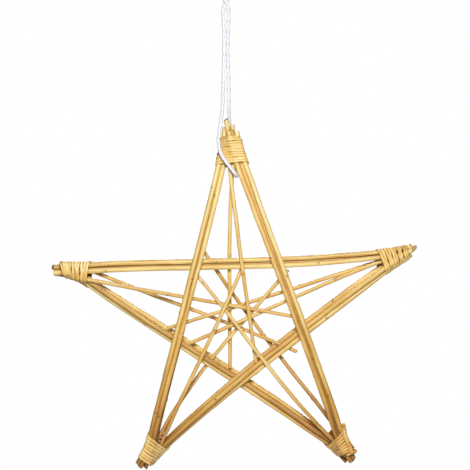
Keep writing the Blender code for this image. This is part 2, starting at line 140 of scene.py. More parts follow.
def closed_tube(name, grid, values, material):
    """A solid from rings of points: faces from ring to ring and a fan at either end, with values kept
    per point. The last ring's and the first ring's middles close the ends."""
    rows, columns = grid.shape[:2]
    ring = np.arange(columns)
    following = np.roll(ring, -1)
    first = (np.arange(rows - 1) * columns)[:, None]
    corners = [first + ring, first + following, first + columns + following, first + columns + ring]
    quads = np.stack(corners, axis=-1).reshape(-1, 4)
    start = rows * columns
    end = start + 1
    last = (rows - 1) * columns
    fans = [(start, b, a) for a, b in zip(ring.tolist(), following.tolist())]
    fans += [(end, last + a, last + b) for a, b in zip(ring.tolist(), following.tolist())]
    points = np.vstack([grid.reshape(-1, 3), grid[0].mean(axis=0), grid[-1].mean(axis=0)])
    mesh = bpy.data.meshes.new(name)
    mesh.from_pydata(points.tolist(), [], quads.tolist() + fans)
    for key, value in values.items():
        flat = value.reshape(rows * columns, -1)
        middles = value.reshape(rows, columns, -1).mean(axis=1)[[0, -1]]
        flat = np.vstack([flat, middles]).astype(np.float32)
        kind, field = ("FLOAT_VECTOR", "vector") if flat.shape[1] == 3 else ("FLOAT", "value")
        mesh.attributes.new(key, kind, "POINT").data.foreach_set(field, flat.ravel())
    mesh.shade_smooth()
    mesh.materials.append(material)
    piece = bpy.data.objects.new(name, mesh)
    bpy.context.scene.collection.objects.link(piece)
    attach(piece, "root")
    return piece


def braid(turn, run):
    """How high the braid stands, 0 in a groove to 1 on a strand.

    Strands wind both ways, with a phase of their number times the turn plus or minus the run. The
    higher strand shows, and at each crossing it is raised by cosines of half of either phase,
    which change sign from one crossing to the next.
    """
    wind = 2 * math.pi * run / BRAID_PITCH
    left = BRAID_STRANDS * turn + wind
    right = BRAID_STRANDS * turn - wind
    over = np.cos(left / 2) * np.cos(right / 2)
    one = (1 - BRAID_CROSSING) * (0.5 + 0.5 * np.cos(left)) + BRAID_CROSSING * (0.5 + 0.5 * over)
    other = (1 - BRAID_CROSSING) * (0.5 + 0.5 * np.cos(right)) + BRAID_CROSSING * (0.5 - 0.5 * over)
    return np.maximum(one, other)


def braided_cord(name, line, diameter, material):
    """A braided cord along a line: its radius is full on a strand and less in a groove."""
    along, side, front = carried(line)
    turn = np.linspace(0, 2 * math.pi, CORD_SIDES, endpoint=False)[None] + np.zeros((len(line), 1))
    run = run_along(line)[:, None] + np.zeros_like(turn)
    high = braid(turn, run)
    radius = diameter / 2 * (1 - BRAID_RELIEF * (1 - high))
    grid = round_grid(line, side, front, radius, turn)
    place = np.stack([radius * np.cos(turn), radius * np.sin(turn), run], axis=-1)
    return closed_tube(name, grid, {"strand": high, "place": place}, material)


def new_material(name):
    """A material with its shader and a function that adds a node, sets its values and links its inputs."""
    material = bpy.data.materials.new(name)
    material.use_nodes = True
    tree = material.node_tree
    shader = tree.nodes["Principled BSDF"]

    def add(kind, values=(), links=(), **settings):
        node = tree.nodes.new(kind)
        for key, value in settings.items():
            setattr(node, key, value)
        for key, value in dict(values).items():
            node.inputs[key].default_value = value
        for key, source in dict(links).items():
            tree.links.new(source, node.inputs[key])
        return node

    return material, shader, add


COTTON_LIGHT = (0.91, 0.91, 0.95, 1.0)
COTTON_GROOVE_PAINTED_SHADE = (0.60, 0.61, 0.70, 1.0)


def braided_cotton():
    """White cotton: painted shade, bluish grey, in the braid's grooves, with fine fibres as a bump."""
    material, shader, add = new_material("braided_cotton")
    strand = add("ShaderNodeAttribute", attribute_name="strand")
    # Painted shade: the colour goes bluish grey where the braid sinks into a groove
    depth = add("ShaderNodeMapRange", {"From Min": 0.35, "From Max": 0.85},
                {"Value": strand.outputs["Fac"]})
    colour = add("ShaderNodeMix", {6: COTTON_GROOVE_PAINTED_SHADE, 7: COTTON_LIGHT}, {0: depth.outputs["Result"]},
                 data_type="RGBA")
    place = add("ShaderNodeAttribute", attribute_name="place")
    fibres = add("ShaderNodeTexNoise", {"Scale": 2600.0, "Detail": 3.0},
                 {"Vector": place.outputs["Vector"]})
    bump = add("ShaderNodeBump", {"Strength": 0.35, "Distance": 0.0002},
               {"Height": fibres.outputs["Fac"]})
    tree = material.node_tree
    tree.links.new(colour.outputs[2], shader.inputs["Base Color"])
    tree.links.new(bump.outputs["Normal"], shader.inputs["Normal"])
    shader.inputs["Roughness"].default_value = 0.9
    shader.inputs["Sheen Weight"].default_value = 0.25
    shader.inputs["Sheen Roughness"].default_value = 0.5
    return material


cotton = braided_cotton()
cord_line = evenly(smooth_curve(np.array(CORD_ROUTE) * MM), CORD_STATION)
hanging_cord = braided_cord("white_hanging_cord", cord_line, CORD_DIAMETER, cotton)
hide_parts("hanging_cord")

# Cord knot
# The same cord, pulled tight, is wound round its own two ends behind the top tie and leaves a
# short cut tail.
KNOT_CORD_DIAMETER = 0.0034
KNOT_TURNS = 2.6
KNOT_WRAP_RADIUS = 0.0032
KNOT_TAIL = [(0.2, 5.0, -3.4), (1.8, 6.2, -5.4), (2.8, 6.4, -8.6), (3.0, 5.8, -11.6)]
KNOT_TAIL_BACK = 0.5
KNOT_POINTS_PER_TURN = 14

knot_low, knot_high = (np.array(corner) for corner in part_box("cord_knot"))
knot_middle = (knot_low + knot_high) / 2
knot_reach = (knot_high[2] - knot_low[2] - KNOT_CORD_DIAMETER) / 2
wrap_turn = np.linspace(0, 2 * math.pi * KNOT_TURNS, int(KNOT_TURNS * KNOT_POINTS_PER_TURN))
wraps = knot_middle + np.stack([
    KNOT_WRAP_RADIUS * np.cos(wrap_turn),
    KNOT_WRAP_RADIUS * np.sin(wrap_turn),
    np.linspace(knot_reach, -knot_reach, len(wrap_turn)),
], axis=1)
tail = wraps[-1] + np.array(KNOT_TAIL) * MM - np.array(KNOT_TAIL[0]) * MM * KNOT_TAIL_BACK
knot_line = evenly(smooth_curve(np.vstack([wraps, tail])), CORD_STATION)
knot = braided_cord("cord_knot_wraps", knot_line, KNOT_CORD_DIAMETER, cotton)
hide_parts("cord_knot")

# Bar rods
# Five bars of three peeled willow rods run from tip to tip. A rod tapers, swells a little at each
# bud, and keeps a small scar there. Its ends are cut across with shears, some of them slanting.
MERGE_DISTANCE = 0.00001
RING_CORNERS = 8
ROD_SIDES = 20
ROD_STATION = 0.003
STATION_DECIMALS = 4
RUN_STEP = 0.001
SHARP_ANGLE = math.radians(50)
BUD_SPACING = 0.043
BUD_SCATTER = 0.3
BUD_TURN = math.radians(137.5)
BUD_STATIONS = 16
BUD_HEIGHT = 0.00042
BUD_RISE = 0.0026
BUD_DROP = 0.0010
BUD_WIDTH = 0.42
BUD_SWELLING = 0.035
BUD_SWELLING_LENGTH = 0.0045
BUD_KINK = 0.00022
BUD_KINK_LENGTH = 0.012
BUD_DARKNESS = 0.35
SCAR_BEYOND = 0.0004
SCAR_LENGTH = 0.0009
SCAR_WIDTH = BUD_WIDTH * 0.8
ROD_FULLNESS = 0.00012
OUT_OF_ROUND = 0.018
OUT_OF_ROUND_TWIST = 31
FLUTES = 0.007
FLUTE_WAVES = ((5, 14), (7, -23))
CUT_BEVEL = 0.00022
CUT_RINGS = np.array([0.45, 0.92, 0.96])
CUT_ROUGHNESS = 0.00012
CUT_STATIONS = 12
CUT_SLIDE_REACH = 1.6
CUT_MARGIN = 0.003
# Painted light: a rod's tone grows with height, by this much a metre, lighter at the top and darker lower
# down, as the light falls from above
HEIGHT_PAINTED_LIGHT = 1.0
STAR_MIDDLE_HEIGHT = -0.36
GRAIN_APART = 5
BARS_SEED = 100
SEEDS_A_GROUP = 10

# Bars by the names of their rods, and how light each of the three rods is
BARS = [
    ("top_to_lower_left", (0.57, 0.60, 0.33)),
    ("top_to_lower_right", (0.57, 0.39, 0.68)),
    ("left_to_right", (0.60, 0.65, 0.34)),
    ("left_to_lower_right", (0.70, 0.45, 0.71)),
    ("right_to_lower_left", (0.56, 0.60, 0.63)),
]

# Slanting cuts: the rod's end, how far the cut leans from square, and the side it faces, in degrees
SLANTING_CUTS = {
    ("right_to_lower_left_rod_2", 0): (54, 68),
    ("top_to_lower_right_rod_1", 0): (25, 150),
}
PLAIN_CUT_LEANS = (4, 24)
PALE_CUT_LEAN = 45
PALE_CUT_SHARE = 0.5

# Buds that face the viewer, by their share of the rod's length
FRONT_BUDS = {
    "top_to_lower_left_rod_1": (0.505, 0.535),
    "top_to_lower_left_rod_2": (0.47,),
    "left_to_lower_right_rod_2": (0.175,),
}
FRONT_BUD_TURN = math.radians(-75)

# How far each tie's outer end lies inward of the tip's point, in millimetres
TIE_STARTS = {
    "top_tie": 8.2,
    "left_tie": 5.8,
    "right_tie": 8.4,
    "lower_left_tie": 5.2,
    "lower_right_tie": 6.2,
}
SAME_FACING = 0.99999
TIE_FADE = 0.003
TIE_NEAR = 0.045
# Painted shade: rods are darker where they lie under a tie, so that the slits between its turns look dark
UNDER_TIE_PAINTED_SHADE = 0.45
# Painted shade: rods are darker near the two lower tips, as the light falls off towards the bottom
TIP_PAINTED_SHADE = {"lower_left_tie": 0.25, "lower_right_tie": 0.21}
TIP_PAINTED_SHADE_REACH = 0.045

tie_boxes = {node: tuple(np.array(corner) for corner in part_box(node)) for node in TIE_STARTS}
star_middle = np.mean([(low + high) / 2 for low, high in tie_boxes.values()], axis=0)


def tie_frame(node):
    """A tie's directions outward, across and back, and the levels of its tip and its inner end.

    Outward is square to its flat end faces, the most faces to face one way. The two others are
    square to it. Levels are measured outward, and the tip lies past the tie's outer end.
    """
    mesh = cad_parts[node].data
    normals = np.array([face.normal for face in mesh.polygons])
    outward = normals[(normals @ normals.T > SAME_FACING).sum(axis=1).argmax()]
    low, high = tie_boxes[node]
    outward = outward * np.sign(outward @ ((low + high) / 2 - star_middle))
    across = unit(np.array([outward[2], 0.0, -outward[0]]))
    levels = np.array([corner.co for corner in mesh.vertices]) @ outward
    return outward, across, np.array([0.0, 1.0, 0.0]), levels.max() + TIE_STARTS[node] * MM, levels.min()


tie_frames = {node: tie_frame(node) for node in TIE_STARTS}


def under_ties(line):
    """How far points lie under a tie: none outside it, and all of it a short way in from either end."""
    covered = np.zeros(len(line))
    for node, (outward, _, _, tip_level, inner) in tie_frames.items():
        level = line @ outward
        outer = tip_level - TIE_STARTS[node] * MM
        near = np.linalg.norm(line - np.mean(tie_boxes[node], axis=0), axis=1) < TIE_NEAR
        past_inner = np.clip((level - inner) / TIE_FADE, 0, 1)
        before_outer = np.clip((outer - level) / TIE_FADE, 0, 1)
        covered = np.maximum(covered, near * past_inner * before_outer)
    return covered


def painted_tip_shade(line):
    """Painted shade near the lower tips: how much darker points are, a smooth bump about the middle of each
    tie.
    """
    return sum(
        shade * bump_over(np.linalg.norm(line - np.mean(tie_boxes[node], axis=0), axis=1), TIP_PAINTED_SHADE_REACH)
        for node, shade in TIP_PAINTED_SHADE.items()
    )


def ring_middles(node):
    """A rod's middle line and radii, thick end first: a copy's corners are merged and sorted along the
    rod, and each ring of them gives its middle and their mean distance from it."""
    copy = bmesh.new()
    copy.from_mesh(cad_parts[node].data)
    bmesh.ops.remove_doubles(copy, verts=copy.verts, dist=MERGE_DISTANCE)
    corners = np.array([corner.co for corner in copy.verts])
    copy.free()
    lengthwise = np.linalg.svd(corners - corners.mean(axis=0), full_matrices=False)[2][0]
    rings = corners[np.argsort(corners @ lengthwise)].reshape(-1, RING_CORNERS, 3)
    middles = rings.mean(axis=1)
    radii = np.linalg.norm(rings - middles[:, None], axis=2).mean(axis=1)
    if radii[0] < radii[-1]:
        return middles[::-1], radii[::-1]
    return middles, radii


def spline(knots, values, at):
    """A springy line through values: its bend changes evenly between knots and is none at both ends."""
    gaps = np.diff(knots)
    steps = np.diff(values, axis=0) / gaps[:, None]
    system = np.eye(len(knots))
    load = np.zeros_like(values)
    for knot_at in range(1, len(knots) - 1):
        before, after = gaps[knot_at - 1], gaps[knot_at]
        system[knot_at, knot_at - 1:knot_at + 2] = before, 2 * (before + after), after
        load[knot_at] = 6 * (steps[knot_at] - steps[knot_at - 1])
    bend = np.linalg.solve(system, load)
    place = np.clip(np.searchsorted(knots, at, side="right") - 1, 0, len(gaps) - 1)
    gap = gaps[place][:, None]
    past = at[:, None] - knots[place][:, None]
    left = gap - past
    return (
        (bend[place] * left ** 3 + bend[place + 1] * past ** 3) / (6 * gap)
        + (values[place] / gap - bend[place] * gap / 6) * left
        + (values[place + 1] / gap - bend[place + 1] * gap / 6) * past
    )


def bump_over(distance, reach):
    """A smooth bump: one at no distance, falling away as the square of distance over reach grows."""
    return np.exp(-(distance / reach) ** 2)


def rod_buds(name, length, spacing, chance):
    """Where a rod's buds sit along it and round it: evenly with some chance, each a set turn on from
    the last. Buds that face the viewer are added."""
    count = int(length / spacing)
    scatter = chance.uniform(-BUD_SCATTER, BUD_SCATTER, count)
    places = (np.arange(count) + 0.5 + scatter) * length / count
    turns = chance.uniform(0, 2 * math.pi) + np.arange(count) * BUD_TURN
    front = np.array(FRONT_BUDS.get(name, ())) * length
    return np.append(places, front), np.append(turns, np.full(len(front), FRONT_BUD_TURN))


def rod_stations(length, buds, cut_reach):
    """Distances along a rod: even, closer about each bud, and close over the cut ends."""
    close = np.linspace(-2 * BUD_RISE, 2 * BUD_DROP, BUD_STATIONS)
    stations = np.concatenate([
        np.arange(0, length, ROD_STATION),
        (buds[:, None] + close).ravel(),
        np.linspace(0, cut_reach[0], CUT_STATIONS),
        length - np.linspace(0, cut_reach[1], CUT_STATIONS),
    ])
    within = stations[(stations > CUT_BEVEL) & (stations < length - CUT_BEVEL)]
    even = np.round(within, STATION_DECIMALS)
    return np.unique(np.concatenate([[CUT_BEVEL], even, [length - CUT_BEVEL]]))


def willow_rod(name, node, spacing, tone, material, seed):
    """One rod. Its radius is the taper, a little fuller, times a swelling at each bud and slow waves
    round it, plus the buds' bumps. Points near a slanting cut slide back along the rod, as far as
    they lie round towards the side that the cut faces."""
    chance = np.random.default_rng(seed)
    middles, radii = ring_middles(node)
    radii = radii + ROD_FULLNESS
    knots = run_along(middles)
    length = knots[-1]
    buds, bud_turns = rod_buds(name, length, spacing, chance)
    cuts = [SLANTING_CUTS.get((node, end), (chance.uniform(*PLAIN_CUT_LEANS), chance.uniform(0, 360)))
            for end in (0, 1)]
    slopes = [math.tan(math.radians(lean)) for lean, _ in cuts]
    faces = [math.radians(face) for _, face in cuts]
    thick = radii[0]
    cut_reach = [2 * thick * slope * CUT_SLIDE_REACH + CUT_MARGIN for slope in slopes]

    at = rod_stations(length, buds, cut_reach)
    share = np.concatenate([CUT_RINGS, np.ones(len(at)), CUT_RINGS[::-1]])
    at = np.concatenate([0 * CUT_RINGS, at, length + 0 * CUT_RINGS])
    line = spline(knots, middles, at)
    along = unit(spline(knots, middles, at + RUN_STEP) - spline(knots, middles, at - RUN_STEP))
    side = unit(np.cross(along, (0.0, 1.0, 0.0)))
    front = np.cross(along, side)
    turn = np.linspace(0, 2 * math.pi, ROD_SIDES, endpoint=False)[None] + np.zeros((len(at), 1))

    past = at[:, None, None] - buds
    around = (turn[..., None] - bud_turns + math.pi) % (2 * math.pi) - math.pi
    lengthwise = np.where(past < 0, bump_over(past, BUD_RISE), bump_over(past, BUD_DROP))
    relief = (lengthwise * bump_over(around, BUD_WIDTH)).max(axis=2)
    scar = (bump_over(past - SCAR_BEYOND, SCAR_LENGTH) * bump_over(around, SCAR_WIDTH)).max(axis=2)
    swelling = BUD_SWELLING * bump_over(past[..., 0, :], BUD_SWELLING_LENGTH).max(axis=1)
    kink = bump_over(past[..., 0, :], BUD_KINK_LENGTH)
    line = line - BUD_KINK * (
        (kink * np.cos(bud_turns)).sum(axis=1)[:, None] * side
        + (kink * np.sin(bud_turns)).sum(axis=1)[:, None] * front
    )
    phases = chance.uniform(0, 2 * math.pi, 4)
    oval = np.cos(2 * turn + phases[0] + at[:, None] * OUT_OF_ROUND_TWIST)
    fluted = sum(np.cos(waves * turn + phase + at[:, None] * twist)
                 for (waves, twist), phase in zip(FLUTE_WAVES, phases[1:]))
    uneven = 1 + OUT_OF_ROUND * oval + FLUTES * fluted
    radius = np.interp(at, knots, radii)[:, None] * (1 + swelling[:, None]) * uneven
    radius = (radius + BUD_HEIGHT * relief) * share[:, None]

    grid = round_grid(line, side, front, radius, turn)
    for end, slope, face, reach in zip((0, 1), slopes, faces, cut_reach):
        from_end = at if end == 0 else length - at
        near = np.clip(1 - from_end / reach, 0, 1)[:, None]
        slide = slope * (thick + radius * np.cos(turn - face)) * near
        toward = 1 if end == 0 else -1
        grid = grid + toward * slide[..., None] * along[:, None]
    rough = chance.normal(0, CUT_ROUGHNESS, turn.shape) * (share < CUT_RINGS[-1])[:, None]
    grid = grid + rough[..., None] * along[:, None]

    offset = chance.uniform(0, GRAIN_APART, 3)
    place = np.stack([radius * np.cos(turn), radius * np.sin(turn), at[:, None] + 0 * turn], axis=-1)
    cut = np.where(share < 1, 1.0, 0.0)[:, None] + 0 * turn
    # Painted light and shade: lighter higher up, darker under the ties and near the two lower tips
    tones = tone + HEIGHT_PAINTED_LIGHT * (line[:, 2:] - STAR_MIDDLE_HEIGHT) + 0 * turn
    tones = tones - (UNDER_TIE_PAINTED_SHADE * under_ties(line) + painted_tip_shade(line))[:, None]
    leans = np.where(at < length / 2, cuts[0][0], cuts[1][0])
    middle = (share * np.where(leans > PALE_CUT_LEAN, PALE_CUT_SHARE, 1.0))[:, None] + 0 * turn
    dark = np.maximum(scar, BUD_DARKNESS * relief)
    values = {"place": place + offset, "bud": dark, "cut": cut, "tone": tones, "middle": middle}
    piece = closed_tube(name, grid, values, material)
    piece.data.set_sharp_from_angle(angle=SHARP_ANGLE)
    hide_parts(node)
    outer = slice(len(CUT_RINGS), -len(CUT_RINGS))
    return line[outer], radius[outer].mean(axis=1)


WILLOW_COLOURS = [
    (0.00, (0.165, 0.062, 0.009, 1.0)),
    (0.30, (0.420, 0.195, 0.030, 1.0)),
    (0.55, (0.655, 0.392, 0.092, 1.0)),
    (0.78, (0.810, 0.600, 0.225, 1.0)),
    (1.00, (0.930, 0.780, 0.420, 1.0)),
]
WILLOW_BUD = (0.090, 0.036, 0.012, 1.0)
# Cut ends: the end grain's own darkening, made darker still as painted shade
WILLOW_CUT_DIRT_AND_SHADE = (0.150, 0.072, 0.026, 1.0)
WILLOW_PITH = (0.620, 0.420, 0.190, 1.0)
WILLOW_STREAKS = 0.34
WILLOW_PATCHES = 0.64


def fill_ramp(node, colours):
    """Sets a colour ramp's stops to pairs of place and colour."""
    stops = node.color_ramp.elements
    while len(stops) < len(colours):
        stops.new(1.0)
    for stop, (place, colour) in zip(stops, colours):
        stop.position = place
        stop.color = colour


def toned_wood(add, tone, streaks, patches, shares, colours):
    """A wood's colour: the ramp's, at its tone plus the streaks and the patches, each times its share,
    less half of the two shares."""
    streak_share, patch_share = shares
    streak_part = add("ShaderNodeMath", {1: streak_share}, {0: streaks.outputs["Fac"]},
                      operation="MULTIPLY")
    patch_part = add("ShaderNodeMath", {1: patch_share}, {0: patches.outputs["Fac"]},
                     operation="MULTIPLY")
    both = add("ShaderNodeMath", {}, {0: streak_part.outputs[0], 1: patch_part.outputs[0]}, operation="ADD")
    half = (streak_share + patch_share) / 2
    level = add("ShaderNodeMath", {1: -half}, {0: both.outputs[0]}, operation="ADD")
    toned = add("ShaderNodeMath", {}, {0: level.outputs[0], 1: tone.outputs["Fac"]}, operation="ADD")
    wood = add("ShaderNodeValToRGB", {}, {"Fac": toned.outputs[0]})
    fill_ramp(wood, colours)
    return wood


def peeled_willow(name):
    """Varnished peeled willow: honey and straw patches with fine streaks along the rod, dark scars,
    and darker cut ends with a pale middle: the end grain's own darker colour, with painted shade on top."""
    material, shader, add = new_material(name)
    tree = material.node_tree
    place = add("ShaderNodeAttribute", attribute_name="place")
    tone = add("ShaderNodeAttribute", attribute_name="tone")
    bud = add("ShaderNodeAttribute", attribute_name="bud")
    cut = add("ShaderNodeAttribute", attribute_name="cut")
    middle = add("ShaderNodeAttribute", attribute_name="middle")

    long_way = add("ShaderNodeMapping", {"Scale": (1.0, 1.0, 0.035)}, {"Vector": place.outputs["Vector"]})
    streaks = add("ShaderNodeTexNoise", {"Scale": 1500.0, "Detail": 4.0, "Roughness": 0.6},
                  {"Vector": long_way.outputs["Vector"]})
    bands_way = add("ShaderNodeMapping", {"Scale": (1.0, 1.0, 0.14)}, {"Vector": place.outputs["Vector"]})
    patches = add("ShaderNodeTexNoise", {"Scale": 190.0, "Detail": 3.0},
                  {"Vector": bands_way.outputs["Vector"]})
    wood = toned_wood(add, tone, streaks, patches, (WILLOW_STREAKS, WILLOW_PATCHES), WILLOW_COLOURS)
    scarred = add("ShaderNodeMix", {7: WILLOW_BUD}, {0: bud.outputs["Fac"], 6: wood.outputs["Color"]},
                  data_type="RGBA")
    pith = add("ShaderNodeMapRange", {"From Min": 0.35, "From Max": 0.75},
               {"Value": middle.outputs["Fac"]})
    end_grain = add("ShaderNodeMix", {6: WILLOW_PITH, 7: WILLOW_CUT_DIRT_AND_SHADE}, {0: pith.outputs["Result"]},
                    data_type="RGBA")
    colour = add("ShaderNodeMix", {},
                 {0: cut.outputs["Fac"], 6: scarred.outputs[2], 7: end_grain.outputs[2]}, data_type="RGBA")
    rough = add("ShaderNodeMapRange", {"To Min": 0.40, "To Max": 0.54},
                {"Value": patches.outputs["Fac"]})
    bump = add("ShaderNodeBump", {"Strength": 0.25, "Distance": 0.00025},
               {"Height": streaks.outputs["Fac"]})
    tree.links.new(colour.outputs[2], shader.inputs["Base Color"])
    tree.links.new(rough.outputs["Result"], shader.inputs["Roughness"])
    tree.links.new(bump.outputs["Normal"], shader.inputs["Normal"])
    shader.inputs["Coat Weight"].default_value = 0.10
    shader.inputs["Coat Roughness"].default_value = 0.48
    return material


rods = {}
bar_willow = peeled_willow("peeled_willow_bars")
for bar_number, (bar, tones) in enumerate(BARS):
    for number, rod_tone in enumerate(tones, start=1):
        rod_node = f"{bar}_rod_{number}"
        rods[rod_node] = willow_rod(f"willow_{rod_node}", rod_node, BUD_SPACING, rod_tone, bar_willow,
                                    BARS_SEED + SEEDS_A_GROUP * bar_number + number)

# Filler rods
# Ten thinner willow rods, peeled and cut like the thick ones, start in the tips, two in each. They
# lie woven across the middle and are held by the ties.
FILLER_BUD_SPACING = 0.034
FILLERS_SEED = 300

# Fillers by the tip that they start in, and how light each of the two is
FILLERS = [
    ("top", (0.62, 0.60)),
    ("left", (0.54, 0.56)),
    ("right", (0.56, 0.60)),
    ("lower_left", (0.62, 0.66)),
    ("lower_right", (0.68, 0.46)),
]

filler_willow = peeled_willow("peeled_willow_fillers")
for tip_number, (tip, tones) in enumerate(FILLERS):
    for number, rod_tone in enumerate(tones, start=1):
        rod_node = f"{tip}_filler_{number}"
        seed = FILLERS_SEED + SEEDS_A_GROUP * tip_number + number
        rods[rod_node] = willow_rod(f"willow_{rod_node}", rod_node, FILLER_BUD_SPACING, rod_tone,
                                    filler_willow, seed)

# Ties
# Round the eight rods of each tip a strip of split cane is wound tightly, side by side. It is flat
# inside and domed outside. Behind, the turns reach further in, where the rods spread. The strip's
# ends are tucked under.
TIE_OUTLINES = 30
TIE_DIRECTIONS = 240
TIE_SHARES = 180
FACING_SHIFTS = range(-7, 8)
TURN_POINTS = 72
STRIP_SIDES = 14
STRIP_THICKNESS = 0.0011
STRIP_DOME = 0.7
STRIP_BELLY = 0.12
STRIP_UNDER = 0.0001
INSIDE_BELOW = -0.3
BELLY_PAINTED_SHADE = 0.60
STRIP_WOBBLE = 0.00022
STRIP_LIFT = 0.00035
STRIP_ROLL = math.radians(7)
TUCK_DEPTH = 0.0016
TUCK_TURNS = 0.10
SIDE_REACH = 0.0014
SLOW_RATES = (0.31, 0.73, 1.37)
WIDTH_CHANGE = 0.05
THICKNESS_CHANGE = 0.12
TONE_CHANGE = 0.10
LEVEL_ROUNDS = 4
SURFACE_MARGIN = 1.001
TIES_SEED = 500

# For each tie: turns, strip width, how light it is, where the first and last turn's middle lie inward
# of the tip, how these slope across the tie, how much further in they reach behind, how much lighter
# it is painted a metre across as painted light, and the slits: the number of the turn before each,
# how far across it lies, half its length and half its opening. Lengths are in millimetres.
TIES = {
    "top_tie": dict(
        turns=9.6, width=3.2, tone=0.70, reaches=(37.6, 9.4), slopes=(0.0, 0.0), behind=5.0, painted_light_across=0.0,
        slits=[(2, 5.0, 3.0, 0.25), (4, -1.5, 3.5, 0.3), (6, -3.0, 3.5, 0.3), (8, 2.0, 3.0, 0.2)]),
    "left_tie": dict(
        turns=10.0, width=3.1, tone=0.66, reaches=(36.2, 7.6), slopes=(0.07, -0.45), behind=5.0, painted_light_across=20.0,
        slits=[(3, 0.6, 3.0, 0.9), (3, -9.0, 2.4, 0.8), (5, 0.3, 3.2, 1.0), (5, -8.0, 2.6, 0.8),
               (6, 0.8, 3.0, 0.9), (8, -5.0, 2.0, 0.5)]),
    "right_tie": dict(
        turns=10.2, width=3.2, tone=0.64, reaches=(38.4, 7.0), slopes=(0.08, 0.30), behind=5.0, painted_light_across=0.0,
        slits=[(2, 2.0, 4.0, 0.4), (4, -2.0, 3.0, 0.4), (6, -3.6, 2.4, 0.9), (6, 4.0, 2.4, 0.8),
               (8, -2.4, 2.0, 1.0), (8, 3.0, 1.8, 0.9)]),
    "lower_left_tie": dict(
        turns=8.0, width=3.25, tone=0.67, reaches=(30.0, 4.8), slopes=(0.15, 0.13), behind=10.6, painted_light_across=0.0,
        slits=[(turn_before, 3.6, 4.4, 0.30) for turn_before in range(1, 8)]),
    "lower_right_tie": dict(
        turns=7.6, width=3.1, tone=0.44, reaches=(30.4, 7.6), slopes=(-0.12, 0.35), behind=7.2, painted_light_across=0.0,
        slits=[(1, 5.0, 5.0, 0.3), (2, 5.0, 4.0, 0.3), (3, 6.0, 4.0, 0.4), (4, 7.0, 3.0, 0.6)]),
}


def bundle_outlines(node, outward, across, back, levels, behind):
    """The outline of the rods in each of several planes square to a tie, evenly stepped.

    In a direction the outline lies on the rod that reaches furthest: its middle plus its radius,
    widened where it slants through the plane. Between two rods the outline is straight. It begins
    behind and first runs to where across is less. With each point's place goes how far its turn
    lies further in: behind times a smooth step of the direction's sine, from none at the sides, plus
    the side's reach, which in front shrinks by the square of one plus the sine. That is evened.
    """
    low, high = tie_boxes[node]
    turn = np.linspace(0, 2 * math.pi, TIE_DIRECTIONS + 1) + math.pi / 2
    facing = np.stack([np.cos(turn), np.sin(turn)], axis=1)
    reaches = []
    places = []
    for line, radius in rods.values():
        if not ((line > low) & (line < high)).all(axis=1).any():
            continue
        level = line @ outward
        order = np.argsort(level)
        slant = np.abs(unit(np.gradient(line, axis=0)) @ outward)
        at = [np.interp(levels, level[order], found[order]) for found in
              (line @ across, line @ back, radius, slant)]
        wide = (at[2] / at[3])[:, None] * facing[:, 0]
        deep = at[2][:, None] * facing[:, 1]
        spread = np.hypot(wide, deep)
        middle = np.stack(at[:2], axis=1)[:, None]
        reach = (middle * facing).sum(axis=2) + spread
        ended = (levels < level.min()) | (levels > level.max())
        reaches.append(np.where(ended[:, None], -1.0, reach))
        places.append(middle + np.stack([(at[2] / at[3])[:, None] * wide, at[2][:, None] * deep],
                                        axis=2) / spread[..., None])
    best = np.argmax(reaches, axis=0)
    outline = np.take_along_axis(np.array(places), best[None, ..., None], axis=0)[0]
    evened = []
    for level, corners in zip(levels, outline):
        closed = np.vstack([corners[:-1], corners[:1]])
        run = run_along(closed)
        even = np.linspace(0, run[-1], TIE_SHARES + 1)
        flat = np.stack([np.interp(even, run, closed[:, axis]) for axis in range(2)], axis=1)
        sine = np.interp(even, run, facing[:, 1])[:-1]
        rear = np.clip(sine, 0, 1)
        further = behind * rear ** 2 * (3 - 2 * rear) + SIDE_REACH * (1 + np.minimum(sine, 0)) ** 2
        smooth = sum(np.roll(further, shift) for shift in FACING_SHIFTS) / len(FACING_SHIFTS)
        place = level * outward + flat[:, :1] * across + flat[:, 1:] * back
        evened.append(np.column_stack([place, np.append(smooth, smooth[0])]))
    return np.array(evened)


def on_surface(surface, row, column):
    """A point between a surface's four nearest points, by its row and column with fractions."""
    row = np.clip(row, 0, len(surface) - SURFACE_MARGIN)
    column = np.clip(column, 0, surface.shape[1] - SURFACE_MARGIN)
    upper_row, left_column = row.astype(int), column.astype(int)
    down, right = (row - upper_row)[:, None], (column - left_column)[:, None]
    upper = surface[upper_row, left_column] * (1 - right) + surface[upper_row, left_column + 1] * right
    next_row = upper_row + 1
    lower = surface[next_row, left_column] * (1 - right) + surface[next_row, left_column + 1] * right
    return upper * (1 - down) + lower * down


def slow_waves(at, chance):
    """Uneven slow waves between -1 and 1: sines of unlike lengths, each begun anywhere."""
    waves = [np.sin(2 * math.pi * (at * rate + chance.uniform())) for rate in SLOW_RATES]
    return sum(waves) / len(waves)


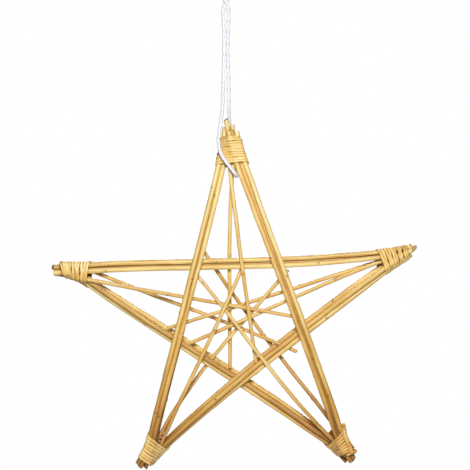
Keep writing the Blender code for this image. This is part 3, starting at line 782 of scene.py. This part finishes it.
def cane_strip(name, line, normal, width, thickness, tone, material, chance):
    """A domed strip along a line: across it a flattened half round, with its belly down to the line.
    The belly is painted darker: painted shade, for the shade on the turns' inner face where it shows
    between the rods."""
    along = unit(np.gradient(line, axis=0))
    normal = unit(normal - along * (normal * along).sum(axis=1, keepdims=True))
    crosswise = np.cross(normal, along)
    turn = np.linspace(0, 2 * math.pi, STRIP_SIDES, endpoint=False)
    rise = np.where(np.sin(turn) > 0, np.abs(np.sin(turn)) ** STRIP_DOME, STRIP_BELLY * np.sin(turn))
    sideways = np.cos(turn) * width[:, None] / 2
    upward = rise * thickness[:, None]
    grid = line[:, None] + sideways[..., None] * crosswise[:, None] + upward[..., None] * normal[:, None]
    run = run_along(line)[:, None] + 0 * sideways
    place = np.stack([sideways, upward, run], axis=-1) + chance.uniform(0, GRAIN_APART, 3)
    edge = np.abs(np.cos(turn)) + 0 * sideways
    # Painted shade: the belly's tone is lowered, as the inner face of the turns lies in shade
    belly_shade = BELLY_PAINTED_SHADE * (np.sin(turn) < INSIDE_BELOW)
    values = {"place": place, "edge": edge, "tone": tone - belly_shade + 0 * sideways}
    return closed_tube(name, grid, values, material)


CANE_COLOURS = [
    (0.00, (0.270, 0.095, 0.014, 1.0)),
    (0.35, (0.580, 0.280, 0.048, 1.0)),
    (0.65, (0.830, 0.555, 0.175, 1.0)),
    (1.00, (0.950, 0.790, 0.420, 1.0)),
]
CANE_EDGE_PAINTED_SHADE = (0.300, 0.130, 0.026, 1.0)
CANE_STREAKS = 0.40
CANE_PATCHES = 0.50


def split_cane():
    """Varnished split cane: straw yellow with fine streaks along the strip, and darker edges, painted shade
    for the gaps between the turns.
    """
    material, shader, add = new_material("split_cane")
    tree = material.node_tree
    place = add("ShaderNodeAttribute", attribute_name="place")
    tone = add("ShaderNodeAttribute", attribute_name="tone")
    edge = add("ShaderNodeAttribute", attribute_name="edge")
    long_way = add("ShaderNodeMapping", {"Scale": (1.0, 1.0, 0.05)}, {"Vector": place.outputs["Vector"]})
    streaks = add("ShaderNodeTexNoise", {"Scale": 1400.0, "Detail": 4.0},
                  {"Vector": long_way.outputs["Vector"]})
    patches = add("ShaderNodeTexNoise", {"Scale": 70.0, "Detail": 2.0},
                  {"Vector": place.outputs["Vector"]})
    cane = toned_wood(add, tone, streaks, patches, (CANE_STREAKS, CANE_PATCHES), CANE_COLOURS)
    # Painted shade: the strip darkens towards its edges, where the turns meet
    edge_shade = add("ShaderNodeMapRange", {"From Min": 0.72, "From Max": 1.0, "To Max": 0.55},
                 {"Value": edge.outputs["Fac"]})
    colour = add("ShaderNodeMix", {7: CANE_EDGE_PAINTED_SHADE}, {0: edge_shade.outputs["Result"], 6: cane.outputs["Color"]},
                 data_type="RGBA")
    bump = add("ShaderNodeBump", {"Strength": 0.3, "Distance": 0.0002},
               {"Height": streaks.outputs["Fac"]})
    tree.links.new(colour.outputs[2], shader.inputs["Base Color"])
    tree.links.new(bump.outputs["Normal"], shader.inputs["Normal"])
    shader.inputs["Roughness"].default_value = 0.46
    shader.inputs["Coat Weight"].default_value = 0.12
    shader.inputs["Coat Roughness"].default_value = 0.3
    return material


def wound_tie(node, turns, width, tone, reaches, slopes, behind, painted_light_across, slits, seed):
    """A tie: its strip's line climbs the bundle's surface once round for every turn.

    Its level is that of the turn, with slow waves, less the slope times the place across and less
    what the surface says it lies further in. Beside a slit the turns before and after it give way.
    Its tone has slow waves and grows across the tie, by as much a metre as its figure for painted light
    says: lighter on the side that the light falls on.
    """
    chance = np.random.default_rng(seed)
    outward, across, back, tip_level, _ = tie_frames[node]
    width = width * MM
    inner_level, outer_level = (tip_level - reach * MM for reach in reaches)
    levels = np.linspace(outer_level + width, inner_level - 2 * behind * MM, TIE_OUTLINES)
    surface = bundle_outlines(node, outward, across, back, levels, behind * MM)

    turn = np.linspace(0, turns, int(turns * TURN_POINTS))
    share = turn / turns
    column = (turn % 1.0) * TIE_SHARES
    base = inner_level + (outer_level - inner_level) * share + STRIP_WOBBLE * slow_waves(turn, chance)
    slope = slopes[0] + (slopes[1] - slopes[0]) * share
    centre = surface[..., :3].mean(axis=(0, 1))
    middle = centre @ across
    level = base
    for _ in range(LEVEL_ROUNDS):
        row = (levels[0] - level) / (levels[0] - levels[1])
        found = on_surface(surface, row, column)
        beside = found[:, :3] @ across - middle
        level = base - slope * beside - found[:, 3]
    for before, sideways, half_length, opening in slits:
        gives = np.where(turn < before, -1.0, 1.0) * (np.abs(turn - before) < 1) * np.sin(np.pi * turn) ** 2
        level = level + gives * opening * MM * bump_over(beside - sideways * MM, half_length * MM)
    row = (levels[0] - level) / (levels[0] - levels[1])
    line = on_surface(surface, row, column)[:, :3]
    run_in = unit((on_surface(surface, row + 1, column) - on_surface(surface, row - 1, column))[:, :3])
    normal = unit(np.cross(run_in, np.gradient(line, axis=0)))
    core = centre + (line @ outward - centre @ outward)[:, None] * outward
    normal = normal * np.sign((normal * (line - core)).sum(axis=1, keepdims=True))
    roll = STRIP_ROLL * slow_waves(turn, chance)[:, None]
    tucked = bump_over(turn, TUCK_TURNS) + bump_over(turns - turn, TUCK_TURNS)
    lift = STRIP_UNDER + STRIP_LIFT * np.clip(slow_waves(turn, chance), 0, 1) - TUCK_DEPTH * tucked
    line = line + normal * lift[:, None]
    wide = width * (1 + WIDTH_CHANGE * slow_waves(turn, chance))
    thick = STRIP_THICKNESS * (1 + THICKNESS_CHANGE * slow_waves(turn, chance))
    # Painted light: the tone grows across the tie, lighter on the side that the light falls on
    tones = (tone + painted_light_across * beside + TONE_CHANGE * slow_waves(turn, chance))[:, None]
    rolled = normal * np.cos(roll) + run_in * np.sin(roll)
    tie = cane_strip(f"cane_{node}", line, rolled, wide, thick, tones, split_cane_strip, chance)
    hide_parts(node)
    return tie


split_cane_strip = split_cane()
ties = {tie_node: wound_tie(tie_node, seed=TIES_SEED + tie_number, **figures)
        for tie_number, (tie_node, figures) in enumerate(TIES.items())}

# Loose cane ends
# Two ends of the ties' own strips of split cane. At the lower right tip the tucked end comes out
# again beside the rods and runs lengthwise over the turns. At the top tip a short end sticks out
# beside the cord.
LAID_NEAR = 0.0016
LAID_ABOVE = 0.0001
LAID_EVENING = 15
LOOSE_ENDS_SEED = 600
LOOSE_ENDS = {
    "lower_right_tie": dict(width=4.8, tone=0.43, facing=0.85, route=[
        (126.9, -3.4, -479.6), (128.1, -5.4, -482.4), (128.8, -7.0, -486.5),
        (129.6, -8.0, -491.5), (131.6, -8.0, -496.5), (133.8, -7.0, -501.5), (135.6, -6.0, -506.5),
        (137.0, -5.0, -511.0)]),
    "top_tie": dict(width=2.6, tone=0.10, facing=0.0, route=[
        (-4.0, 3.0, -184.6), (-6.6, 0.6, -184.9), (-8.6, -1.6, -185.3), (-10.0, -3.4, -185.6)]),
}


def laid_over(node, line):
    """A line brought in front of a tie's turns: each point's depth is the least of the turns' corners
    near it as seen from the front, and that of the whole line is then evened along its run."""
    corners = np.array([corner.co for corner in ties[node].data.vertices])
    apart = np.hypot(line[:, None, 0] - corners[:, 0], line[:, None, 2] - corners[:, 2])
    front = np.where(apart < LAID_NEAR, corners[:, 1], np.inf).min(axis=1) - LAID_ABOVE
    depth = np.minimum(line[:, 1], front)
    weights = np.hanning(LAID_EVENING)
    padded = np.pad(depth, LAID_EVENING // 2, mode="edge")
    laid = line.copy()
    laid[:, 1] = np.convolve(padded, weights / weights.sum(), mode="valid")
    return laid


def loose_end(node, route, width, tone, facing, seed):
    """A strip along a smooth route. Its domed side points away from the tie's middle, blended with
    the way to the front by the facing's share."""
    chance = np.random.default_rng(seed)
    line = laid_over(node, evenly(smooth_curve(np.array(route) * MM), CORD_STATION))
    outside = unit(line - np.mean(tie_boxes[node], axis=0)) * (1 - facing) + np.array([0.0, -facing, 0.0])
    wide = np.full(len(line), width * MM)
    thick = np.full(len(line), STRIP_THICKNESS)
    cane_strip(f"cane_{node}_loose_end", line, outside, wide, thick, tone, split_cane_strip, chance)


for tie_number, (tie_node, figures) in enumerate(LOOSE_ENDS.items()):
    loose_end(tie_node, seed=LOOSE_ENDS_SEED + tie_number, **figures)

# Floor and light
# A pale floor well below the star, white surroundings, one soft lamp in front and a little above, and
# a larger one behind, further off.
FLOOR_HEIGHT = -0.66
FLOOR_SIZE = 1.1
FLOOR_COLOUR = (0.82, 0.82, 0.81, 1.0)
FRONT_LAMP = ((0.02, -1.30, 0.12), 0.32, 19.6)
BACK_LAMP = ((0.1, 2.0, 0.1), 0.9, 38.0)
SURROUNDINGS = 0.09
SURROUNDINGS_COLOUR = (1.0, 0.95, 0.86, 1.0)

bpy.ops.mesh.primitive_plane_add(size=FLOOR_SIZE, location=(PICTURE_CENTRE[0], 0, FLOOR_HEIGHT))
floor = bpy.context.object
floor.name = "pale_floor"
floor_paint, floor_shader, _ = new_material("pale_floor")
floor_shader.inputs["Base Color"].default_value = FLOOR_COLOUR
floor_shader.inputs["Roughness"].default_value = 0.9
floor.data.materials.append(floor_paint)


def soft_light(name, place, size, power):
    """A square lamp that faces the star's middle and isn't itself seen."""
    lamp = bpy.data.lights.new(name, "AREA")
    lamp.size = size
    lamp.energy = power
    holder = bpy.data.objects.new(name, lamp)
    holder.location = place
    aim = Vector((PICTURE_CENTRE[0], 0, PICTURE_CENTRE[1])) - holder.location
    holder.rotation_euler = aim.to_track_quat("-Z", "Y").to_euler()
    holder.visible_camera = False
    bpy.context.scene.collection.objects.link(holder)


soft_light("front_softbox", *FRONT_LAMP)
soft_light("back_softbox", *BACK_LAMP)

world = bpy.data.worlds.new("white_surroundings")
bpy.context.scene.world = world
world.use_nodes = True
world_nodes = world.node_tree.nodes
seen = world_nodes["Background"]
seen.inputs["Color"].default_value = (1.0, 1.0, 1.0, 1.0)
seen.inputs["Strength"].default_value = 1.0
lighting = world_nodes.new("ShaderNodeBackground")
lighting.inputs["Color"].default_value = SURROUNDINGS_COLOUR
lighting.inputs["Strength"].default_value = SURROUNDINGS
rays = world_nodes.new("ShaderNodeLightPath")
choice = world_nodes.new("ShaderNodeMixShader")
world.node_tree.links.new(rays.outputs["Is Camera Ray"], choice.inputs[0])
world.node_tree.links.new(lighting.outputs[0], choice.inputs[1])
world.node_tree.links.new(seen.outputs[0], choice.inputs[2])
world.node_tree.links.new(choice.outputs[0], world_nodes["World Output"].inputs["Surface"])
bpy.context.scene.view_settings.view_transform = "Standard"
